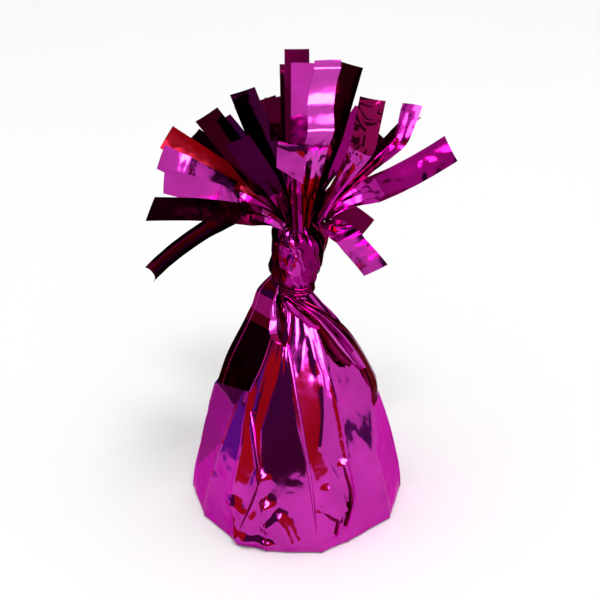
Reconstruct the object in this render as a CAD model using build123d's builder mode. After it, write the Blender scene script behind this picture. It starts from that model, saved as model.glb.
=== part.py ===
from build123d import *
import math
import os

# Balloon weight: a cement-filled cone cup wrapped in metallised film.
# The film is tucked under the cup, gathered and tied above it, and its free
# end is slit into strips that burst out of the neck.
# Millimetres, +Z up, origin in the middle of the resting face.
# The photographed side looks towards -Y.

# Base disc and film
DISC_RADIUS = 22.0
DISC_THICKNESS = 0.3
FILM = 0.3                # film as a solid: thicker than the real film
HEM_WIDTH = 11.0          # film tucked in under the cup

# Wrapped cone, measured over the outer ridges
BASE_RADIUS = 29.0
SHOULDER_CURVE = 1.72     # 1 is a straight cone, more is rounder
PLEAT_DEPTH = 0.16        # valley depth at the throat, as a share of the radius
RIDGE_ANGLES = (0, 35, 75, 115, 150, 180, 208, 239, 265, 285, 332)   # degrees
WRAP_LEVELS = 8

# Neck band and gathered neck
TIE_HEIGHT = 65.0         # middle of the band
TIE_WIDTH = 2.4
TIE_THICKNESS = 0.8
THROAT_RADIUS = 4.5       # film pulled tight inside the band
THROAT_COLLAR = 0.6       # plain film that shows beyond each edge of the band
NECK_TOP = 83.0
NECK_RADIUS = 6.6
NECK_WAIST = 0.94         # slimmest part above the bulge, as a share
NECK_PLEATS = 15
NECK_PLEAT_DEPTH = 0.15

# Cup and its filling
CUP_HEADROOM = 13.2       # from the top of the cup to the throat
CUP_WALL = 1.0
CUP_CLEARANCE = 0.3       # between the cup and the film's deepest valleys
CUP_LEVELS = 6

# Fringe strips
STRIP_LENGTH = 42.0
STRIP_WIDTH = 6.35
STRIP_FILM = 0.2
STRIP_CLEARANCE = 0.3     # above the neck, so that each strip can swing
ROOT_WIDTH = 1.2          # gathered width where a strip leaves the neck
ROOT_LENGTH = 18.0        # over which a strip opens out to its full width
BEND_END = 0.3            # share of the length where the root bend ends
FOLD_SPAN = 0.1           # share of the length that a sharp fold takes
STATIONS = (0, 0.06, 0.13, 0.2, 0.3, 0.45, 0.6, 0.8, 1)
FOLD_STEPS = 8
PATH_STEPS = 200

# One row for each strip, angles in degrees: root radius as a share of the neck
# radius, root azimuth, heading, climb at the root, after the bend and at the
# tip, roll about its own line, length as a share of STRIP_LENGTH.
STRIPS = (
    (0.95, 233, 220, (45, 24, 17), -40, 1.07),
    (0.92, 215, 209, (50, 31, 27), -55, 0.89),
    (0.91, 198, 200, (55, 35, 35), -60, 0.90),
    (0.76, 186, 188, (60, 39, 38), -65, 0.90),
    (0.92, 171, 164, (20, -34, -50), -60, 1.02),
    (0.57, 220, 204, (68, 56, 56), 75, 0.95),
    (0.64, 236, 224, (70, 58, 56), 50, 0.81),
    (0.94, 263, 252, (84, 84, 84), 0, 0.80),
    (0.33, 208, 202, (78, 70, 70), 70, 0.95),
    (0.84, 158, 127, (30, 9, 6), -35, 0.98),
    (0.77, 132, 117, (34, 13, 9), -20, 1.00),
    (0.51, 150, 112, (50, 31, 28), -25, 0.88),
    (0.70, 106, 103, (44, 22, 18), -15, 0.98),
    (0.41, 96, 101, (50, 30, 27), -10, 0.90),
    (0.24, 140, 92, (58, 48, 48), 0, 0.99),
    (0.07, 207, 91, (64, 58, 58), 0, 1.05),
    (0.28, 292, 86, (80, 84, 85), 0, 1.00),
    (0.55, 284, 4, (84, 83, 83), 84, 1.08),
    (0.35, 25, 62, (62, 54, 54), 25, 0.98),
    (0.72, 333, 340, (68, 61, 61), -76, 0.93),
    (0.40, 341, 18, (62, 47, 46), 25, 0.68),
    (0.58, 351, 26, (48, 33, 33), 40, 0.95),
    (0.66, 24, 46, (36, 21, 21), 32, 1.00),
    (0.90, 3, 28, (36, 8, 22), 34, 0.95),
    (0.89, 44, 48, (15, -36, -44), -75, 0.60),
    (0.93, 338, 300, (30, -2, -18), 15, 0.62),
    (0.61, 58, 66, (46, 20, 12), 0, 1.00),
    (0.88, 66, 72, (40, 4, -10), 0, 1.00),
    (0.89, 88, 92, (30, -22, -38), 0, 1.00),
    (0.93, 116, 122, (5, -28, -40), 10, 0.95),
)
# Strips folded over: row number, share of the length at the fold, climb after it
FOLDS = {8: (0.72, -80), 20: (0.6, 80), 22: (0.7, 72)}

HEM_TOP = DISC_THICKNESS + FILM
TIE_LOW = TIE_HEIGHT - TIE_WIDTH / 2
TIE_HIGH = TIE_HEIGHT + TIE_WIDTH / 2
WRAP_TOP = TIE_LOW - THROAT_COLLAR
CUP_TOP = WRAP_TOP - CUP_HEADROOM
NECK_FOOT = TIE_HIGH + THROAT_COLLAR

os.makedirs("parts", exist_ok=True)


def smooth(x):
    """Ease from 0 to 1."""
    x = min(max(x, 0), 1)
    return x * x * (3 - 2 * x)


def ridge_radius(z):
    """Radius over the film's ridges at height z."""
    share = (z - DISC_THICKNESS) / (WRAP_TOP - DISC_THICKNESS)
    return THROAT_RADIUS + (BASE_RADIUS - THROAT_RADIUS) * (1 - share**SHOULDER_CURVE)


def valley_share(z, half_angle):
    """Radius of a valley as a share of the ridge radius: a flat panel, drawn in towards the throat."""
    share = (z - DISC_THICKNESS) / (WRAP_TOP - DISC_THICKNESS)
    return math.cos(half_angle) * (1 - PLEAT_DEPTH * share**1.5)


def panels():
    """Azimuth and half angle of each flat panel between two ridges, in radians."""
    for ridge, following in zip(RIDGE_ANGLES, RIDGE_ANGLES[1:] + RIDGE_ANGLES[:1]):
        yield math.radians(ridge), math.radians((following - ridge) % 360) / 2


def wrap_outline(z, inset=0.0):
    """Corners of the pleated film at height z, ridge and valley in turn."""
    radius = ridge_radius(z)
    points = []
    for azimuth, half_angle in panels():
        for angle, reach in (
            (azimuth, radius - inset),
            (azimuth + half_angle, radius * valley_share(z, half_angle) - inset),
        ):
            points.append((reach * math.cos(angle), reach * math.sin(angle)))
    return points


def levels(low, high, count):
    """Heights from low to high."""
    return [low + (high - low) * step / (count - 1) for step in range(count)]


def cup_radius(z):
    """Outer radius of the cup: it clears the film's widest panel."""
    widest = max(half_angle for _, half_angle in panels())
    return ridge_radius(z) * valley_share(z, widest) - FILM - CUP_CLEARANCE


def cup_profile(inset, low, high):
    """Half section of the cup or its filling, for a turn about Z."""
    side = [(cup_radius(z) - inset, z) for z in levels(low, high, CUP_LEVELS)]
    return [(0, low), *side, (0, high)]


with BuildPart() as base_disc:
    with BuildSketch():
        Circle(DISC_RADIUS)
    extrude(amount=DISC_THICKNESS)

with BuildPart() as ballast:
    with BuildSketch(Plane.XZ):
        with BuildLine():
            Polyline(*cup_profile(CUP_WALL, HEM_TOP, CUP_TOP - CUP_WALL), close=True)
        make_face()
    revolve(axis=Axis.Z)

with BuildPart() as weight_cup:
    with BuildSketch(Plane.XZ):
        with BuildLine():
            Polyline(*cup_profile(0, HEM_TOP, CUP_TOP), close=True)
        make_face()
    revolve(axis=Axis.Z)
    with BuildSketch(Plane.XZ):
        with BuildLine():
            Polyline(*cup_profile(CUP_WALL, HEM_TOP, CUP_TOP - CUP_WALL), close=True)
        make_face()
    revolve(axis=Axis.Z, mode=Mode.SUBTRACT)

with BuildPart() as foil_wrap:
    for height in levels(DISC_THICKNESS, WRAP_TOP, WRAP_LEVELS):
        with BuildSketch(Plane.XY.offset(height)):
            with BuildLine():
                Polyline(*wrap_outline(height), close=True)
            make_face()
    loft(ruled=True)
    # Room for the cup, up to just above its top
    for height in levels(HEM_TOP, CUP_TOP + CUP_CLEARANCE, WRAP_LEVELS):
        with BuildSketch(Plane.XY.offset(height)):
            with BuildLine():
                Polyline(*wrap_outline(height, FILM), close=True)
            make_face()
    loft(ruled=True, mode=Mode.SUBTRACT)
    # The hem leaves the middle of the cup's mouth bare
    with BuildSketch(Plane.XY.offset(DISC_THICKNESS)):
        Circle(BASE_RADIUS - HEM_WIDTH)
    extrude(amount=FILM, mode=Mode.SUBTRACT)
    with BuildSketch(Plane.XY.offset(WRAP_TOP)):
        Circle(THROAT_RADIUS)
    extrude(amount=TIE_HEIGHT - WRAP_TOP)

with BuildPart() as neck_tie:
    with BuildSketch(Plane.XY.offset(TIE_LOW)):
        Circle(THROAT_RADIUS + TIE_THICKNESS)
        Circle(THROAT_RADIUS, mode=Mode.SUBTRACT)
    extrude(amount=TIE_WIDTH)

# Gathered neck: share of its height, share of its radius
NECK_SHAPE = (
    (0, THROAT_RADIUS / NECK_RADIUS),
    (0.15, 0.9),
    (0.35, 1),
    (0.65, NECK_WAIST),
    (1, 1),
)

with BuildPart() as foil_neck:
    for climb, swell in NECK_SHAPE:
        height = NECK_FOOT + climb * (NECK_TOP - NECK_FOOT)
        outline = []
        for point in range(2 * NECK_PLEATS):
            depth = NECK_PLEAT_DEPTH if point % 2 else 0
            reach = NECK_RADIUS * swell * (1 - depth)
            angle = math.pi * point / NECK_PLEATS
            outline.append((reach * math.cos(angle), reach * math.sin(angle)))
        with BuildSketch(Plane.XY.offset(height)):
            with BuildLine():
                Polyline(*outline, close=True)
            make_face()
    loft(ruled=True)
    with BuildSketch(Plane.XY.offset(TIE_HEIGHT)):
        Circle(THROAT_RADIUS)
    extrude(amount=NECK_FOOT - TIE_HEIGHT)


def strip_climb(climbs, fold, along):
    """Climb of a strip in radians, at a share of its length."""
    root, middle, tip = climbs
    if along < BEND_END:
        climb = root + (middle - root) * smooth(along / BEND_END)
    else:
        climb = middle + (tip - middle) * (along - BEND_END) / (1 - BEND_END)
    if fold and along > fold[0]:
        climb += (fold[1] - climb) * smooth((along - fold[0]) / FOLD_SPAN)
    return math.radians(climb)


def strip_frame(heading, climb, roll):
    """Direction of a strip and direction across its width."""
    way = Vector(
        math.cos(climb) * math.cos(heading),
        math.cos(climb) * math.sin(heading),
        math.sin(climb),
    )
    level = Vector(-math.sin(heading), math.cos(heading), 0)
    across = level * math.cos(roll) + way.cross(level) * math.sin(roll)
    return way, across


def strip_planes(row, fold):
    """Plane and width at each station along a strip."""
    share, root_azimuth, heading, climbs, roll, length_share = row
    heading, roll = math.radians(heading), math.radians(roll)
    length = STRIP_LENGTH * length_share
    reach = NECK_RADIUS * share
    azimuth = math.radians(root_azimuth)
    _, across = strip_frame(heading, strip_climb(climbs, fold, 0), roll)
    # The lowest corner of the root stands just clear of the neck
    foot = NECK_TOP + STRIP_CLEARANCE + abs(across.Z) * ROOT_WIDTH / 2
    place = Vector(reach * math.cos(azimuth), reach * math.sin(azimuth), foot)
    stations = list(STATIONS)
    if fold:
        bend = [fold[0] + FOLD_SPAN * step / FOLD_STEPS for step in range(FOLD_STEPS + 1)]
        stations = sorted({s for s in STATIONS if s < bend[0] or s > bend[-1]}.union(bend))
    planes = []
    for step in range(PATH_STEPS + 1):
        along = step / PATH_STEPS
        way, across = strip_frame(heading, strip_climb(climbs, fold, along), roll)
        if along >= stations[0] - 1e-9:
            opened = min(1, along * length / ROOT_LENGTH)
            width = ROOT_WIDTH + (STRIP_WIDTH - ROOT_WIDTH) * opened
            planes.append((Plane(origin=place, x_dir=across, z_dir=way), width))
            stations.pop(0)
        if step < PATH_STEPS:
            middle = strip_climb(climbs, fold, along + 0.5 / PATH_STEPS)
            place = place + strip_frame(heading, middle, roll)[0] * (length / PATH_STEPS)
    return planes


for number, row in enumerate(STRIPS, start=1):
    with BuildPart() as fringe_strip:
        for plane, width in strip_planes(row, FOLDS.get(number)):
            with BuildSketch(plane):
                Rectangle(width, STRIP_FILM)
        loft(ruled=True)
    fringe_strip.part.label = f"fringe_strip_{number:02d}"
    export_step(fringe_strip.part, f"parts/fringe_strip_{number:02d}.step")

base_disc.part.label = "base_disc"
export_step(base_disc.part, "parts/base_disc.step")
ballast.part.label = "ballast"
export_step(ballast.part, "parts/ballast.step")
weight_cup.part.label = "weight_cup"
export_step(weight_cup.part, "parts/weight_cup.step")
foil_wrap.part.label = "foil_wrap"
export_step(foil_wrap.part, "parts/foil_wrap.step")
neck_tie.part.label = "neck_tie"
export_step(neck_tie.part, "parts/neck_tie.step")
foil_neck.part.label = "foil_neck"
export_step(foil_neck.part, "parts/foil_neck.step")
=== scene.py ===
import math

import bpy
import numpy as np
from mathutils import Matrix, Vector


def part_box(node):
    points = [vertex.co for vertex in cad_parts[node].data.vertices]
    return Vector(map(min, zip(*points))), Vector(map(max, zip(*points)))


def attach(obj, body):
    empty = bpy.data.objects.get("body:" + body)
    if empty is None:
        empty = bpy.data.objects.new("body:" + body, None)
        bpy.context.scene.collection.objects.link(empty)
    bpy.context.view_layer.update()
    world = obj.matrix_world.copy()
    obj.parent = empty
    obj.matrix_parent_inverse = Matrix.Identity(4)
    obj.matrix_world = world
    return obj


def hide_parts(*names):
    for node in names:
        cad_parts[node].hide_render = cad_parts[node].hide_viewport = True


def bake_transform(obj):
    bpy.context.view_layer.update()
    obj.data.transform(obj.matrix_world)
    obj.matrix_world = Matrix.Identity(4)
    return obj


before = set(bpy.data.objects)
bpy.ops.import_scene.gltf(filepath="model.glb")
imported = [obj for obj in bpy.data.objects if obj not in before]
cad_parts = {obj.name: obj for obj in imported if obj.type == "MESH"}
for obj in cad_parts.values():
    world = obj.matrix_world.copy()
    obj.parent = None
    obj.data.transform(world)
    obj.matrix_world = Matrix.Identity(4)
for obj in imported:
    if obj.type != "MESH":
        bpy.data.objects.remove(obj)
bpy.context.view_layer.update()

# The looks of the balloon weight: metallised film, wrapped, tied and slit.
# Shapes are worked out in millimetres, as in the part, and scaled once.
MM = 0.001
FILM_THICKNESS = 0.1

# Camera, as in the photograph: its focal length is in pixels of a 600 pixel frame
FRAME_PIXELS = 600
FOCAL_PIXELS = 1606
CAMERA_ELEVATION = 29.6
CAMERA_DISTANCE = 420.2
CAMERA_TARGET = 60.26
SENSOR = 36

# Film colour, and its paler tint where it is seen edge on
FILM_COLOUR = (0.49, 0.026, 0.355)
EDGE_COLOUR = (0.85, 0.22, 0.70)

# Painted reflections: flat colours that stand in for film mirroring something red, violet or dark maroon,
# and for duller film that shows painted red and magenta reflections under any light
PAINTED_REFLECTION_TINTS = {"red": (0.36, 0.001, 0.010), "violet": (0.042, 0.001, 0.026), "maroon": (0.19, 0.002, 0.055)}
DULL_PAINTED_TINTS = {"matt": (0.42, 0.004, 0.14), "matt_red": (0.29, 0.001, 0.006)}
DULL_METALLIC = 0.45

# Azimuth of the photographed side
FRONT = 270


def box_mm(node):
    """Lowest and highest corner of a CAD node in millimetres."""
    low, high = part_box(node)
    return np.array(low) / MM, np.array(high) / MM


def smooth(x):
    """Ease from 0 to 1."""
    x = np.clip(x, 0, 1)
    return x * x * (3 - 2 * x)


def fading(height, fade):
    """1 that eases to 0 at a height, over a span below it."""
    end, span = fade
    return smooth((end - height) / span)


def uneven(around, shifts):
    """How far pleats lie from even spacing: a sum of waves of a size, a rate and a start."""
    return sum(size * np.sin(rate * around + start) for size, rate, start in shifts)


def from_polar(azimuth, height, radius):
    """Points from azimuth in degrees, height and radius."""
    angle = np.radians(azimuth)
    return np.stack([radius * np.cos(angle), radius * np.sin(angle), height], axis=-1)


def painted_tone_colour(painted_power):
    """Film colour raised to a power: above 1 a painted shade of light that has met the film several times,
    below 1 a painted highlight.
    """
    return tuple(channel**painted_power for channel in FILM_COLOUR)


# Relief

# Sine hash that gives each lattice corner its height
HASH_FACTORS = (127.1, 311.7, 74.7)
HASH_SPREAD = 43758.5453

# Bends of the lattice, by a long wave and a short one, and its skew into triangles
LONG_BEND = 0.35
SHORT_BEND = 0.2
SKEW = 0.366


def lattice_height(column, row, seed):
    """Random height in -1 to 1 for each corner of an endless lattice."""
    by_column, by_row, by_seed = HASH_FACTORS
    mixed = np.sin(column * by_column + row * by_row + seed * by_seed) * HASH_SPREAD
    return 2 * (mixed - np.floor(mixed)) - 1


def facets(x, y, cell, seed):
    """Relief of flat triangles with sharp creases, about cell across, in -1 to 1, on a bent lattice."""
    x, y = x / cell, y / cell
    bent_x = x + LONG_BEND * np.sin(1.7 * y + seed) + SHORT_BEND * np.sin(2.9 * x + 1.3 * y + 2 * seed)
    bent_y = y + LONG_BEND * np.sin(1.9 * x + 3 * seed) + SHORT_BEND * np.sin(2.3 * y - 1.1 * x + seed)
    skew = (bent_x + bent_y) * SKEW
    column, row = np.floor(bent_x + skew), np.floor(bent_y + skew)
    u, v = bent_x + skew - column, bent_y + skew - row
    low = lattice_height(column, row, seed)
    high = lattice_height(column + 1, row + 1, seed)
    right = lattice_height(column + 1, row, seed)
    above = lattice_height(column, row + 1, seed)
    lower = low * (1 - u) + right * (u - v) + high * v
    upper = low * (1 - v) + above * (v - u) + high * u
    return np.where(u > v, lower, upper)


# Meshes

# Edges that turn by more degrees than this are shaded as sharp
SHARP_ANGLE = 35


def grid_normals(grid, closed):
    """Unit normals of a grid of points; closed grids join their last column to the first."""
    along = np.gradient(grid, axis=0)
    if closed:
        across = (np.roll(grid, -1, axis=1) - np.roll(grid, 1, axis=1)) / 2
    else:
        across = np.gradient(grid, axis=1)
    normals = np.cross(across, along)
    lengths = np.linalg.norm(normals, axis=2, keepdims=True)
    return normals / np.maximum(lengths, 1e-9)


def film_shell(grid, closed=False, thickness=FILM_THICKNESS):
    """Points and faces of a closed shell of film on a grid of points in millimetres."""
    rows, columns = grid.shape[:2]
    normals = grid_normals(grid, closed)
    front = grid + normals * thickness / 2
    back = grid - normals * thickness / 2
    points = np.concatenate([front.reshape(-1, 3), back.reshape(-1, 3)]) * MM
    offset = rows * columns
    faces = []
    last = columns if closed else columns - 1
    for i in range(rows - 1):
        for j in range(last):
            k = (j + 1) % columns
            a, b = i * columns + j, i * columns + k
            c, d = a + columns, b + columns
            faces.append((a, b, d, c))
            faces.append((offset + a, offset + c, offset + d, offset + b))
    for i, turn in ((0, True), (rows - 1, False)):
        for j in range(last):
            a, b = i * columns + j, i * columns + (j + 1) % columns
            rim = (a, offset + a, offset + b, b)
            faces.append(rim if turn else rim[::-1])
    if not closed:
        for j, turn in ((0, False), (columns - 1, True)):
            for i in range(rows - 1):
                a, b = i * columns + j, (i + 1) * columns + j
                rim = (a, offset + a, offset + b, b)
                faces.append(rim if turn else rim[::-1])
    return points, faces


def film_piece(name, shells, films):
    """One object of closed shells, each with its own film or all with the same one."""
    points, faces, slots = [], [], []
    for index, (shell_points, shell_faces) in enumerate(shells):
        start = len(points)
        points.extend(shell_points.tolist())
        faces.extend(tuple(start + corner for corner in face) for face in shell_faces)
        slots.extend([min(index, len(films) - 1)] * len(shell_faces))
    mesh = bpy.data.meshes.new(name)
    mesh.from_pydata(points, [], faces)
    for material in films:
        mesh.materials.append(material)
    mesh.polygons.foreach_set("material_index", slots)
    mesh.polygons.foreach_set("use_smooth", [True] * len(mesh.polygons))
    mesh.set_sharp_from_angle(angle=math.radians(SHARP_ANGLE))
    mesh.update()
    piece = bpy.data.objects.new(name, mesh)
    bpy.context.scene.collection.objects.link(piece)
    return piece


# Materials

# Film finish: scales of the noise for dye, scuffs, ripples and grain, and what each one changes
DYE_SCALE = 90
DYE_SHADES = (0.82, 1.12)
SCUFF_SCALE = 420
FILM_ROUGHNESS = (0.05, 0.17)
RIPPLE_SCALE = 130
RIPPLE_HEIGHT = 0.00018
GRAIN_SCALE = 900
GRAIN_HEIGHT = 0.00001
COAT_WEIGHT = 0.06
COAT_ROUGHNESS = 0.05

# Where a drifting colour is plain dark and plain light, as noise values
SHADE_STOPS = (0.3, 0.7)

# Speckle of the plain solids: detail of their colour, how much finer the grain is, its strength
SPECKLE_DETAIL = 6
SPECKLE_GRAIN = 3
SPECKLE_STRENGTH = 0.6

# Finish of the plain solids: name, dark and light shade, noise scale, roughness, grain height
PLAIN_SOLIDS = {
    "ballast": ("cement", ((0.32, 0.31, 0.29), (0.45, 0.44, 0.42)), 300, 0.9, 0.0004),
    "weight_cup": ("cup_plastic", ((0.70, 0.70, 0.68), (0.76, 0.76, 0.74)), 150, 0.5, 0.00005),
    "base_disc": ("card", ((0.50, 0.42, 0.32), (0.60, 0.52, 0.41)), 400, 0.85, 0.0001),
}


def new_material(name):
    """An empty node material with its Principled shader, and a maker of linked nodes."""
    material = bpy.data.materials.new(name)
    material.use_nodes = True
    nodes = material.node_tree.nodes
    links = material.node_tree.links
    shader = nodes["Principled BSDF"]

    def add(kind, links_in=(), **values):
        node = nodes.new(kind)
        for key, value in values.items():
            if key in node.inputs:
                node.inputs[key].default_value = value
            else:
                setattr(node, key, value)
        for socket, source in dict(links_in).items():
            links.new(source, node.inputs[socket])
        return node

    return material, shader, add, links


def shade_by_noise(add, place, scale, colours, detail=3):
    """Colour that drifts between two colours."""
    noise = add("ShaderNodeTexNoise", {"Vector": place}, Scale=scale, Detail=detail)
    ramp = add("ShaderNodeValToRGB", {"Fac": noise.outputs["Fac"]})
    for stop, colour, at in zip(ramp.color_ramp.elements, colours, SHADE_STOPS):
        stop.color = (*colour, 1)
        stop.position = at
    return ramp.outputs["Color"]


def film_material(name, colour, metallic=1.0):
    """Mirror-bright dyed film in a given colour, often a painted tone: uneven dye, fine scuffs, shallow
    ripples and a finer grain.
    """
    material, shader, add, links = new_material(name)
    place = add("ShaderNodeTexCoord").outputs["Object"]
    shades = [tuple(min(1, level * channel) for channel in colour) for level in DYE_SHADES]
    links.new(shade_by_noise(add, place, DYE_SCALE, shades), shader.inputs["Base Color"])
    scuff = add("ShaderNodeTexNoise", {"Vector": place}, Scale=SCUFF_SCALE, Detail=5)
    rough = add("ShaderNodeMapRange", {"Value": scuff.outputs["Fac"]})
    rough.inputs["To Min"].default_value = FILM_ROUGHNESS[0]
    rough.inputs["To Max"].default_value = FILM_ROUGHNESS[1]
    links.new(rough.outputs["Result"], shader.inputs["Roughness"])
    wide = add("ShaderNodeTexNoise", {"Vector": place}, Scale=RIPPLE_SCALE, Detail=2)
    fine = add("ShaderNodeTexNoise", {"Vector": place}, Scale=GRAIN_SCALE, Detail=2)
    ripple = add("ShaderNodeBump", {"Height": wide.outputs["Fac"]}, Distance=RIPPLE_HEIGHT, Strength=1.0)
    grain = add(
        "ShaderNodeBump",
        {"Height": fine.outputs["Fac"], "Normal": ripple.outputs["Normal"]},
        Distance=GRAIN_HEIGHT,
        Strength=1.0,
    )
    links.new(grain.outputs["Normal"], shader.inputs["Normal"])
    shader.inputs["Metallic"].default_value = metallic
    # The edge tint and coat weaken with the colour's level, so a painted shade darkens them too
    level = max(colour) / max(FILM_COLOUR)
    shader.inputs["Specular Tint"].default_value = (*(level * channel for channel in EDGE_COLOUR), 1)
    shader.inputs["Coat Weight"].default_value = COAT_WEIGHT * level
    shader.inputs["Coat Roughness"].default_value = COAT_ROUGHNESS
    return material


def speckled_material(name, colours, scale, roughness, grain):
    """A dull solid: card, cast cement or moulded plastic."""
    material, shader, add, links = new_material(name)
    place = add("ShaderNodeTexCoord").outputs["Object"]
    links.new(shade_by_noise(add, place, scale, colours, SPECKLE_DETAIL), shader.inputs["Base Color"])
    noise = add("ShaderNodeTexNoise", {"Vector": place}, Scale=SPECKLE_GRAIN * scale, Detail=4)
    bump = add(
        "ShaderNodeBump", {"Height": noise.outputs["Fac"]}, Distance=grain, Strength=SPECKLE_STRENGTH
    )
    links.new(bump.outputs["Normal"], shader.inputs["Normal"])
    shader.inputs["Roughness"].default_value = roughness
    return material


def dress(piece, material):
    """Give a piece or a CAD node one material."""
    piece.data.materials.clear()
    piece.data.materials.append(material)


# Wrap over the cone

wrap_low, wrap_high = box_mm("foil_wrap")
tie_low, tie_high = box_mm("neck_tie")
neck_top = box_mm("foil_neck")[1][2]

BASE_RADIUS = wrap_high[0]
FLOOR_GAP = wrap_low[2]
GAP_BELOW_TIE = 0.6
WRAP_TOP = tie_low[2] - GAP_BELOW_TIE
THROAT_RADIUS = 4.5
SHOULDER_CURVE = 1.72
HEM_WIDTH = 11
EDGE_ROUND = 0.7

# Creases of the wrap, all the way round: height, azimuth and how far each point of it is off the cone
CREASES = (
    ((0, 0, -1), (12, 1, -1.4), (30, 3, -0.8), (54, 6, 0), (59, 7, -1.2), (63, 8, -0.4)),
    ((0, 35, 0), (30, 38, 0), (53, 39, 0), (59, 40, -1.6), (63, 40, -0.4)),
    ((0, 75, 0), (30, 74, 0), (63, 70, 0)),
    ((0, 115, 0), (30, 112, 0), (63, 108, 0)),
    ((0, 150, 0), (34, 148, 1), (63, 142, 0)),
    ((0, 180, 0.7), (15, 180, 0.25), (25, 179, 0.9), (34, 178, 2.2), (40, 178, 0.8), (63, 170, -0.8)),
    ((0, 208, 0.4), (15, 208, -0.8), (34, 213, -0.4), (41, 213, -2.1), (54, 207, -1), (63, 200, -0.6)),
    ((0, 238, 1.5), (5, 234, 0.6), (13, 229, 0), (27, 229, 0), (39, 224, 0), (63, 225, 0)),
    ((0, 251, 0.2), (11, 250, 0), (19, 246, 0), (26, 240, 0), (32, 234, 0), (45, 233, 0), (63, 233, 0)),
    ((0, 253, 0.2), (11, 252, 0), (26, 245, 0), (32, 243, 0), (46, 248, 0), (53, 247, 0), (63, 242, 0)),
    ((0, 281, 1.4), (12, 279, 0), (20, 277, 0), (29, 273, 0), (46, 263, 0), (53, 254, 0), (63, 252, 0)),
    ((0, 289, -0.4), (6, 291, -1), (13, 296, -0.7), (20, 293, -0.2), (29, 284, 0), (36, 288, 0),
     (46, 292, 0), (63, 270, 0)),
    ((0, 297, -1), (6, 296, -1.5), (14, 302, -1), (22, 300, -0.4), (40, 300, 0), (63, 295, 0)),
    ((0, 329, -0.7), (13, 326, -0.4), (23, 323, 0), (34, 335, 0), (40, 348, 0), (54, 352, 0),
     (59, 354, -0.7), (63, 355, -0.3)),
)

# Grid of the wrap: its rows lie closer together towards the throat
COLUMN_WIDTH = 0.5
LEAST_COLUMNS = 8
SIDE_ROWS = 220
ROW_SPACING = 0.8
HEM_ROWS = 9
COLLAR_ROWS = 5
COLLAR_GAP = 0.3

# Lower edge: its lift as a share of the rounding, the height over which that ends, ripples of the hem
EDGE_LIFT = 0.4
EDGE_LIFT_SPAN = 4
HEM_RIPPLE = 0.05
HEM_RIPPLE_RATE = 25

# Relief of the wrap. A fade is the height where a relief ends, and the span below it where it eases out
RIDGE_RISE = 0.2
RIDGE_HALF_WIDTH = 0.4
RIDGE_FADE = (50, 10)
WAVE_RISE = 0.10
WAVE_LENGTH = 5.1
WAVE_SWAY = 2
WAVE_SWAY_LENGTH = 9
WAVE_FADE = (62, 20)
CRUMPLE_RISE = 0.09
CRUMPLE_FADE = (56, 10)
FOOT_CRUMPLE_RISE = 0.12
FOOT_CRUMPLE_FADE = (9, 7)
# Share, cell and seed of the crumples' facets, and the radius at which they are laid out
CRUMPLE_FACETS = ((1, 5.5, 3.0), (0.3, 2.6, 8.0))
RELIEF_RADIUS = 22

# Bulge at the foot: azimuth, half width in degrees, rise
FOOT_BULGE = (258, 13, 1.1)
BULGE_FADE = (10, 10)

# Pleats at the throat: number in each panel, uneven spacing, depth as a share, start and deepening
THROAT_PLEATS = 1.5
THROAT_SHIFTS = ((0.22, 2.1, 0), (0.13, 5.3, 1))
THROAT_PLEAT_DEPTH = 0.05
THROAT_PLEAT_START = 40
THROAT_PLEAT_CURVE = 1.6

# Flutes below the tie: azimuth and height of their middle, spread both ways, rise, rate round the cone
FLUTE_MIDDLE = (283, 51)
FLUTE_SPREAD = (16, 4.5)
FLUTE_RISE = 0.3
FLUTE_RATE = 26

# Small folds above the foot: rise, half width, then azimuth and height of points along each
FOOT_FOLDS = (
    (1.2, 2.0, (247, 20), (242, 12), (236, 2)),
    (1.4, 1.8, (251, 12.5), (246, 8.2), (242, 3.1)),
    (1.0, 1.4, (241, 1.6), (247, 2.6), (253, 1.8)),
    (1.3, 1.6, (253, 7.1), (258, 9.6), (262, 7.5), (266, 3)),
    (0.7, 1.1, (282, 11.8), (287, 9.6), (290, 8.2), (288, 4.4)),
    (0.9, 1.3, (298, 23), (300, 14.5), (295, 6.6)),
    (0.7, 1.2, (228, 11), (236, 9.5)),
    (0.7, 1.0, (286, 17.4), (293, 14.2), (296, 11)),
    (1.0, 1.4, (124, 11), (118, 6), (112, 4)),
    (0.9, 1.4, (64, 14), (60, 8), (52, 3)),
    (0.9, 1.3, (14, 5), (22, 8), (30, 3)),
    (1.0, 1.4, (168, 12), (162, 7), (158, 2)),
)


def ridge_radius(z):
    """Radius of the plain cone at height z."""
    share = np.clip((z - FLOOR_GAP) / (WRAP_TOP - FLOOR_GAP), 0, 1)
    return THROAT_RADIUS + (BASE_RADIUS - THROAT_RADIUS) * (1 - share**SHOULDER_CURVE)


def crease_lines(z):
    """Azimuth in radians and radius of each crease at each height, one column per crease."""
    azimuths, reaches = [], []
    for points in CREASES:
        heights, angles, offsets = zip(*points)
        azimuths.append(np.interp(z, heights, np.radians(angles)))
        reaches.append(ridge_radius(z) + np.interp(z, heights, offsets))
    return np.stack(azimuths, axis=1), np.stack(reaches, axis=1)


def foot_fold_rise(azimuth, height, radius):
    """Rounded folds above the foot, by the distance from each one's line."""
    rise = np.zeros_like(height)
    for most, half_width, *points in FOOT_FOLDS:
        nearest = np.full_like(height, np.inf)
        for (start_azimuth, start), (end_azimuth, end) in zip(points, points[1:]):
            x = np.radians(azimuth - start_azimuth) * radius
            y = height - start
            run = np.radians(end_azimuth - start_azimuth) * radius
            climb = end - start
            along = np.clip((x * run + y * climb) / (run**2 + climb**2), 0, 1)
            nearest = np.minimum(nearest, np.hypot(x - along * run, y - along * climb))
        rise += most * np.exp(-((nearest / half_width) ** 2))
    return rise


def throat_saw(around):
    """Pleats at the throat: 0 on each ridge and 1 in each valley."""
    bend = THROAT_PLEATS * around + uneven(around, THROAT_SHIFTS)
    return 0.5 + 0.5 * np.cos(2 * math.pi * bend)


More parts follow.
